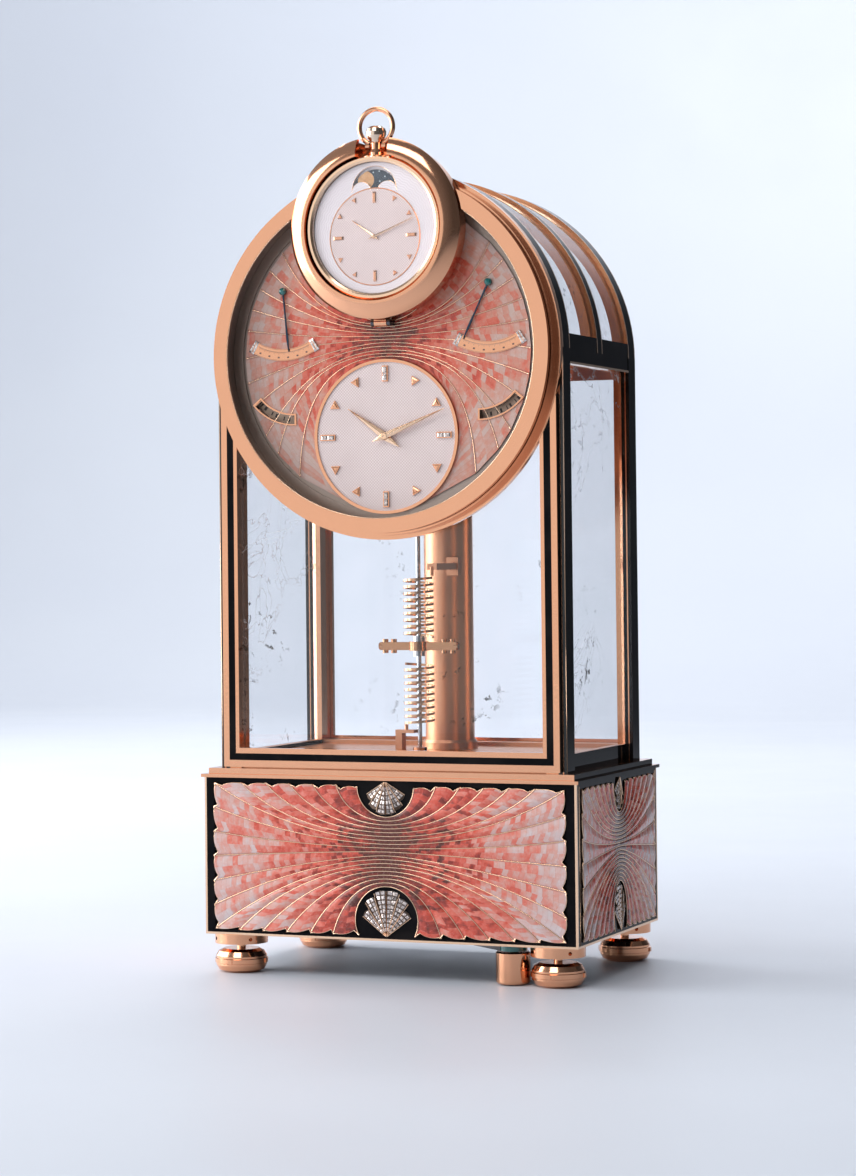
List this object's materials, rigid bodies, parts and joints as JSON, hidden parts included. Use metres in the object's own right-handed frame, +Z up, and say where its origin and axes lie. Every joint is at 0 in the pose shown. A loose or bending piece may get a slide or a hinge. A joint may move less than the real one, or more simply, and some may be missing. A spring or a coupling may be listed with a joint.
{
  "type": "anniversary clock",
  "caption": "Glazed mantel anniversary clock with a round shell dial, a tilting cradle with a pocket watch, a tall balance on a column and a shell-panelled plinth on levelling feet.",
  "frame": {"origin": "bottom centre of the whole clock, on the surface that its feet stand on", "axes": "+X to the right seen from the front, +Y towards the back, +Z up"},
  "size_m": [0.147, 0.1028, 0.3156],
  "materials": {
    "onyx": "polished black onyx",
    "rose_gold": "polished rose gold",
    "satin_gold": "satin rose gold",
    "spring_gold": "polished gold ribbon",
    "brass": "brushed brass",
    "coral_shell": "polished pink shell mosaic",
    "diamond": "cut stones in a white metal setting",
    "rock_crystal": "polished rock crystal with inclusions",
    "watch_glass": "clear polished",
    "guilloche": "engraved pale enamel",
    "printed_disc": "satin",
    "moon_enamel": "dark blue enamel",
    "blued_steel": "blued and polished",
    "dark_steel": "dark polished",
    "steel": "polished"
  },
  "bodies": {
    "case": {"plinth_slabs": "onyx", "gold_trims": "rose_gold", "plinth_floor": "brass", "plinth_mouldings": "rose_gold", "shell_panels": "coral_shell", "fan_ornaments": "diamond", "foot_flanges": "rose_gold", "case_floor": "rose_gold", "corner_posts": "rose_gold", "onyx_strips": "onyx", "front_frame": "rose_gold", "case_crystals": "rock_crystal", "roof_frame": "onyx", "roof_crystals": "rock_crystal", "door_hinges": "rose_gold", "drum_shell": "rose_gold", "drum_bezel": "rose_gold", "drum_rings": "onyx", "movement_housing": "satin_gold", "dial_plate": "brass", "dial_shell_inlay": "coral_shell", "time_dial": "guilloche", "dial_gauges": "rose_gold", "movement_frame": "brass", "support_column": "satin_gold", "cradle_hinge": "rose_gold"},
    "foot_front_left": {"foot_screw_front_left": "rose_gold"},
    "foot_front_right": {"foot_screw_front_right": "rose_gold"},
    "foot_rear_left": {"foot_screw_rear_left": "rose_gold"},
    "foot_rear_right": {"foot_screw_rear_right": "rose_gold"},
    "transport_lock": {"transport_lock": "dark_steel"},
    "rear_door": {"rear_door_frame": "rose_gold", "rear_door_crystal": "rock_crystal"},
    "minute_arbor": {"minute_hand": "rose_gold", "centre_wheel": "brass"},
    "hour_pipe": {"hour_hand": "rose_gold"},
    "minute_wheel": {"minute_wheel": "brass"},
    "intermediate_wheel": {"intermediate_wheel": "brass"},
    "barrel": {"mainspring_barrel": "brass"},
    "winding_arbor": {"winding_arbor": "steel"},
    "third_wheel": {"third_wheel": "brass"},
    "escape_wheel": {"escape_wheel": "steel"},
    "pallet_lever": {"pallet_lever": "steel"},
    "reserve_hand": {"reserve_hand": "blued_steel"},
    "equation_hand": {"equation_hand": "blued_steel"},
    "month_disc": {"month_disc": "printed_disc"},
    "date_disc": {"date_disc": "printed_disc"},
    "balance": {"balance_staff": "steel", "balance_bar": "rose_gold", "balance_springs": "spring_gold"},
    "cradle": {"cradle_ring": "rose_gold"},
    "watch": {"watch_case": "rose_gold", "watch_bezel": "rose_gold", "watch_crystal": "watch_glass", "watch_dial": "guilloche"},
    "moon_disc": {"moon_disc": "moon_enamel"},
    "watch_hour": {"watch_hour_hand": "rose_gold"},
    "watch_minute": {"watch_minute_hand": "rose_gold"},
    "watch_crown": {"watch_crown": "rose_gold"},
    "watch_bow": {"watch_bow": "rose_gold"}
  },
  "joints": [
    {"name": "minute_hand_turn", "type": "hinge", "parent": "case", "child": "minute_arbor", "pos_m": [0, -0.03695, 0.1965], "axis": [0, 1, 0], "continuous": true},
    {"name": "hour_hand_turn", "type": "hinge", "parent": "case", "child": "hour_pipe", "pos_m": [0, -0.03695, 0.1965], "axis": [0, 1, 0], "continuous": true},
    {"name": "minute_wheel_turn", "type": "hinge", "parent": "case", "child": "minute_wheel", "pos_m": [0.006, -0.03495, 0.18611], "axis": [0, 1, 0], "continuous": true},
    {"name": "intermediate_wheel_turn", "type": "hinge", "parent": "case", "child": "intermediate_wheel", "pos_m": [0.01403, -0.02195, 0.2046], "axis": [0, 1, 0], "continuous": true},
    {"name": "barrel_turn", "type": "hinge", "parent": "case", "child": "barrel", "pos_m": [0, -0.02495, 0.22219], "axis": [0, 1, 0], "continuous": true},
    {"name": "third_wheel_turn", "type": "hinge", "parent": "case", "child": "third_wheel", "pos_m": [-0.01408, -0.01695, 0.19346], "axis": [0, 1, 0], "continuous": true},
    {"name": "escape_wheel_turn", "type": "hinge", "parent": "case", "child": "escape_wheel", "pos_m": [-0.01598, -0.01295, 0.2052], "axis": [0, 1, 0], "continuous": true},
    {"name": "month_disc_turn", "type": "hinge", "parent": "case", "child": "month_disc", "pos_m": [-0.0363, -0.03595, 0.2233], "axis": [0, 1, 0], "continuous": true},
    {"name": "date_disc_turn", "type": "hinge", "parent": "case", "child": "date_disc", "pos_m": [0.0363, -0.03595, 0.2233], "axis": [0, 1, 0], "continuous": true},
    {"name": "winding_arbor_turn", "type": "hinge", "parent": "case", "child": "winding_arbor", "pos_m": [0, 0.03305, 0.22219], "axis": [0, 1, 0], "range_deg": [0, 1728]},
    {"name": "pallet_lever_rock", "type": "hinge", "parent": "case", "child": "pallet_lever", "pos_m": [-0.01001, -0.01095, 0.19915], "axis": [0, 1, 0], "range_deg": [-3, 3]},
    {"name": "reserve_hand_sweep", "type": "hinge", "parent": "case", "child": "reserve_hand", "pos_m": [-0.0403, -0.03995, 0.2508], "axis": [0, 1, 0], "range_deg": [-25, 36]},
    {"name": "equation_hand_sweep", "type": "hinge", "parent": "case", "child": "equation_hand", "pos_m": [0.0403, -0.03995, 0.2508], "axis": [0, 1, 0], "range_deg": [-56, 5]},
    {"name": "balance_swing", "type": "hinge", "parent": "case", "child": "balance", "pos_m": [0, -0.00895, 0.1196], "axis": [0, 0, 1], "range_deg": [-135, 135], "deforming": ["balance_springs"]},
    {"name": "rear_door_swing", "type": "hinge", "parent": "case", "child": "rear_door", "pos_m": [-0.0669, 0.04745, 0.15], "axis": [0, 0, 1], "range_deg": [0, 100]},
    {"name": "transport_lock_swing", "type": "hinge", "parent": "case", "child": "transport_lock", "pos_m": [0.0454, -0.03595, 0.012], "axis": [0, 0, 1], "range_deg": [-20, 0]},
    {"name": "cradle_tilt", "type": "hinge", "parent": "case", "child": "cradle", "pos_m": [0, -0.04295, 0.2376], "axis": [1, 0, 0], "range_deg": [0, 35]},
    {"name": "watch_removal", "type": "slide", "parent": "cradle", "child": "watch", "axis": [0, -1, 0], "range_m": [0, 0.05]},
    {"name": "watch_minute_turn", "type": "hinge", "parent": "watch", "child": "watch_minute", "pos_m": [0, -0.04895, 0.2683], "axis": [0, 1, 0], "continuous": true},
    {"name": "watch_hour_turn", "type": "hinge", "parent": "watch", "child": "watch_hour", "pos_m": [0, -0.04895, 0.2683], "axis": [0, 1, 0], "continuous": true},
    {"name": "moon_disc_turn", "type": "hinge", "parent": "watch", "child": "moon_disc", "pos_m": [0, -0.04725, 0.2836], "axis": [0, 1, 0], "continuous": true},
    {"name": "crown_turn", "type": "hinge", "parent": "watch", "child": "watch_crown", "pos_m": [0, -0.04595, 0.304], "axis": [0, 0, 1], "continuous": true},
    {"name": "bow_swing", "type": "hinge", "parent": "watch", "child": "watch_bow", "pos_m": [0, -0.04595, 0.3014], "axis": [1, 0, 0], "range_deg": [-28, 28]},
    {"name": "foot_front_left_turn", "type": "hinge", "parent": "case", "child": "foot_front_left", "pos_m": [-0.062, -0.03495, 0.005], "axis": [0, 0, 1], "range_deg": [-720, 720]},
    {"name": "foot_front_right_turn", "type": "hinge", "parent": "case", "child": "foot_front_right", "pos_m": [0.062, -0.03495, 0.005], "axis": [0, 0, 1], "range_deg": [-720, 720]},
    {"name": "foot_rear_left_turn", "type": "hinge", "parent": "case", "child": "foot_rear_left", "pos_m": [-0.062, 0.04105, 0.005], "axis": [0, 0, 1], "range_deg": [-720, 720]},
    {"name": "foot_rear_right_turn", "type": "hinge", "parent": "case", "child": "foot_rear_right", "pos_m": [0.062, 0.04105, 0.005], "axis": [0, 0, 1], "range_deg": [-720, 720]}
  ],
  "couplings": [
    {"joint": "hour_hand_turn", "follows": "minute_hand_turn", "ratio": 0.083333},
    {"joint": "minute_wheel_turn", "follows": "minute_hand_turn", "ratio": -0.33333},
    {"joint": "intermediate_wheel_turn", "follows": "minute_hand_turn", "ratio": -0.2},
    {"joint": "barrel_turn", "follows": "minute_hand_turn", "ratio": 0.025},
    {"joint": "third_wheel_turn", "follows": "minute_hand_turn", "ratio": -8},
    {"joint": "escape_wheel_turn", "follows": "minute_hand_turn", "ratio": 60},
    {"joint": "month_disc_turn", "follows": "minute_hand_turn", "ratio": 0.00011416},
    {"joint": "date_disc_turn", "follows": "minute_hand_turn", "ratio": 0.0013441},
    {"joint": "watch_hour_turn", "follows": "watch_minute_turn", "ratio": 0.083333},
    {"joint": "moon_disc_turn", "follows": "watch_minute_turn", "ratio": 0.00070621}
  ]
}
